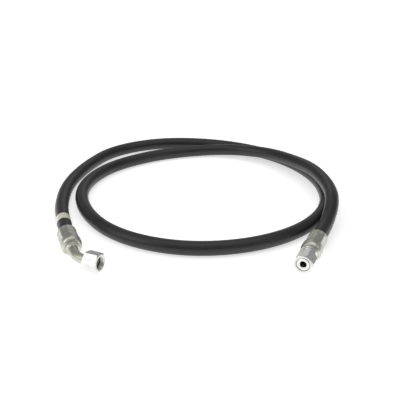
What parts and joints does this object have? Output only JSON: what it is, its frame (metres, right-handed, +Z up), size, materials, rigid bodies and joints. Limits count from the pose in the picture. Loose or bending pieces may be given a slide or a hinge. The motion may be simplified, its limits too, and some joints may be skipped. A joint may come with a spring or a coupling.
{
  "type": "hydraulic hose assembly",
  "caption": "Wire-braided rubber hydraulic hose lying in an open coil, with crimped metal ends: a bent tube swivel and a straight swivel, each with a spinning hexagon nut.",
  "frame": {"origin": "centre of the two metal ends' footprint, on the floor that the hose lies on", "axes": "+X from the elbow end to the straight end, +Y from the ends back over the loop, +Z up"},
  "size_m": [0.4035, 0.4588, 0.039],
  "materials": {
    "cover_rubber": "smooth satin black synthetic rubber",
    "tube_rubber": "smooth black nitrile lining",
    "bond_rubber": "thin tacky rubber sheet between the braids",
    "braid_wire": "brassed high-tensile steel wire",
    "zinc_dull": "dull zinc plate with an olive passivation tint",
    "zinc_bright": "bright turned and milled zinc-plated steel",
    "pale_sleeve": "pale printed-sleeve plastic, left blank"
  },
  "bodies": {
    "hose": {"hose_inner_tube": "tube_rubber", "inner_wire_braid": "braid_wire", "friction_layer": "bond_rubber", "outer_wire_braid": "braid_wire", "hose_cover": "cover_rubber", "id_sleeve": "pale_sleeve", "elbow_ferrule": "zinc_dull", "elbow_insert": "zinc_dull", "elbow_tube": "zinc_dull", "elbow_sleeve": "zinc_bright", "straight_ferrule": "zinc_dull", "straight_insert": "zinc_bright"},
    "elbow_swivel": {"elbow_nut": "zinc_bright"},
    "straight_swivel": {"straight_nut": "zinc_bright"}
  },
  "joints": [
    {"name": "elbow_nut_spin", "type": "hinge", "parent": "hose", "child": "elbow_swivel", "pos_m": [-0.11474, -0.03116, 0.0131], "axis": [0.9063, -0.4226, 0], "continuous": true},
    {"name": "straight_nut_spin", "type": "hinge", "parent": "hose", "child": "straight_swivel", "pos_m": [0.13497, -0.02912, 0.0131], "axis": [-0.3987, -0.9171, 0], "continuous": true}
  ]
}
